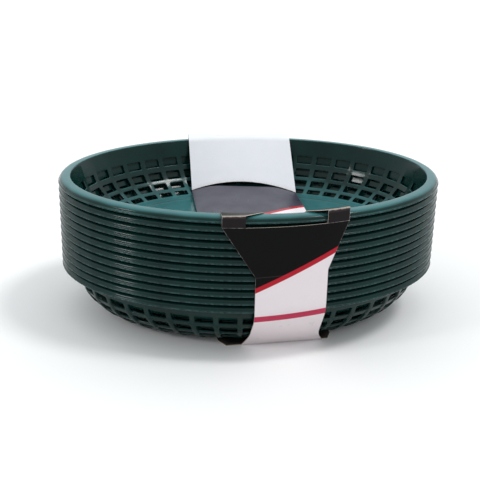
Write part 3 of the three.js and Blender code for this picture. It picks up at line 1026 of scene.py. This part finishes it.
def add_floor():
    material = bpy.data.materials.new("studio_floor")
    material.use_nodes = True
    tree = material.node_tree
    shader = tree.nodes["Principled BSDF"]
    shader.inputs["Roughness"].default_value = 0.9
    shader.inputs["Specular IOR Level"].default_value = 0.0
    mix = tree.nodes.new("ShaderNodeMix")
    mix.data_type = "RGBA"
    colours = [s for s in mix.inputs if s.type == "RGBA"]
    colours[0].default_value = FLOOR_IN_LIGHT
    colours[1].default_value = FLOOR_SEEN
    tree.links.new(white_share(tree, FLOOR_GLOSSY_SHARE), mix.inputs["Factor"])
    tree.links.new(next(s for s in mix.outputs if s.type == "RGBA"), shader.inputs["Base Color"])
    mesh = bpy.data.meshes.new("floor")
    corners = [(-1, -1), (1, -1), (1, 1), (-1, 1)]
    mesh.from_pydata([(x * FLOOR_SIZE, y * FLOOR_SIZE, 0) for x, y in corners], [], [(0, 1, 2, 3)])
    mesh.materials.append(material)
    floor = bpy.data.objects.new("floor", mesh)
    floor.location.z = -FLOOR_DROP
    bpy.context.scene.collection.objects.link(floor)


def set_world():
    world = bpy.data.worlds.new("studio")
    world.use_nodes = True
    tree = world.node_tree
    background = tree.nodes["Background"]
    background.inputs["Color"].default_value = SKY_COLOUR
    # the studio is lit from above and behind, and is darker in front of the pack
    place = tree.nodes.new("ShaderNodeTexCoord")
    towards = tree.nodes.new("ShaderNodeVectorMath")
    towards.operation = "DOT_PRODUCT"
    towards.inputs[1].default_value = SKY_BRIGHT_WAY
    tree.links.new(place.outputs["Generated"], towards.inputs[0])

    def level(dim, bright):
        span = tree.nodes.new("ShaderNodeMapRange")
        tree.links.new(towards.outputs["Value"], span.inputs["Value"])
        span.inputs["From Min"].default_value, span.inputs["From Max"].default_value = SKY_SPAN
        span.inputs["To Min"].default_value = dim
        span.inputs["To Max"].default_value = bright
        return span.outputs[0]

    def mixed(share, dim, bright):
        mix = tree.nodes.new("ShaderNodeMix")
        tree.links.new(share, mix.inputs["Factor"])
        tree.links.new(dim, mix.inputs["A"])
        if isinstance(bright, float):
            mix.inputs["B"].default_value = bright
        else:
            tree.links.new(bright, mix.inputs["B"])
        return mix.outputs["Result"]

    path = tree.nodes.new("ShaderNodeLightPath")
    seen = mixed(path.outputs["Is Camera Ray"], level(*SKY_IN_GLOSS), SKY_SEEN)
    strength = mixed(white_share(tree), level(*SKY_LIGHT), seen)
    tree.links.new(strength, background.inputs["Strength"])
    bpy.context.scene.world = world


def add_sun(name, direction, strength, angle):
    light = bpy.data.lights.new(name, "SUN")
    light.energy = strength
    light.angle = math.radians(angle)
    lamp = bpy.data.objects.new(name, light)
    lamp.rotation_mode = "QUATERNION"
    lamp.rotation_quaternion = Vector(direction).normalized().to_track_quat("Z", "Y")
    bpy.context.scene.collection.objects.link(lamp)


# The camera fitted to the rims: focal length in pixels, distance and shift of its aim in
# millimetres, and the angles of its turn, height and roll
FOCAL = 893.01
DISTANCE = 779.11
AZIMUTH = math.radians(-6.932)
ELEVATION = math.radians(20.981)
ROLL = math.radians(-1.213)
SHIFT = (-7.658, -22.105)
IMAGE = 480
AIM_BELOW_TOP = 40.0


def add_camera():
    back = Vector((math.sin(AZIMUTH) * math.cos(ELEVATION), -math.cos(AZIMUTH) * math.cos(ELEVATION),
                   math.sin(ELEVATION)))
    right = Vector((math.cos(AZIMUTH), math.sin(AZIMUTH), 0))
    up = back.cross(right)
    place = back * DISTANCE + right * SHIFT[0] + up * SHIFT[1] + Vector((0, 0, TOP - AIM_BELOW_TOP))
    x = right * math.cos(ROLL) - up * math.sin(ROLL)
    y = right * math.sin(ROLL) + up * math.cos(ROLL)
    camera = bpy.data.cameras.new("camera")
    camera.lens = FOCAL / IMAGE * camera.sensor_width
    camera.clip_start, camera.clip_end = 0.01, 100
    thing = bpy.data.objects.new("camera", camera)
    thing.matrix_world = Matrix((x, y, back)).transposed().to_4x4()
    thing.location = place / 1000
    bpy.context.scene.collection.objects.link(thing)
    bpy.context.scene.camera = thing


add_baskets()
add_panel(-1, "sleeve_front_panel", FRONT_PRINT)
add_panel(1, "sleeve_back_panel", BLACK_PRINT)
add_base()
add_flaps()
add_tongue()
EAR_WORDS = {-1: "ear_left", 1: "ear_right"}
add_strips(-1, "front", "sleeve_front_flap", BLACK_PRINT,
           FRONT_SLOT_SHARE * FLAP_HALF, 1.0, EAR_WORDS)
add_strips(1, "back", "sleeve_back_flap", WHITE_BOARD,
           BACK_SLOT_HALF, BACK_SLOT_END, {**EAR_WORDS, 0: "middle"})
add_floor()
set_world()
add_sun("key", direction=(0.47, -0.12, 0.87), strength=0.92, angle=13)
add_sun("side", direction=(-0.8, -0.26, 0.54), strength=0.36, angle=9)
add_camera()

scene = bpy.context.scene
scene.view_settings.view_transform = "Standard"
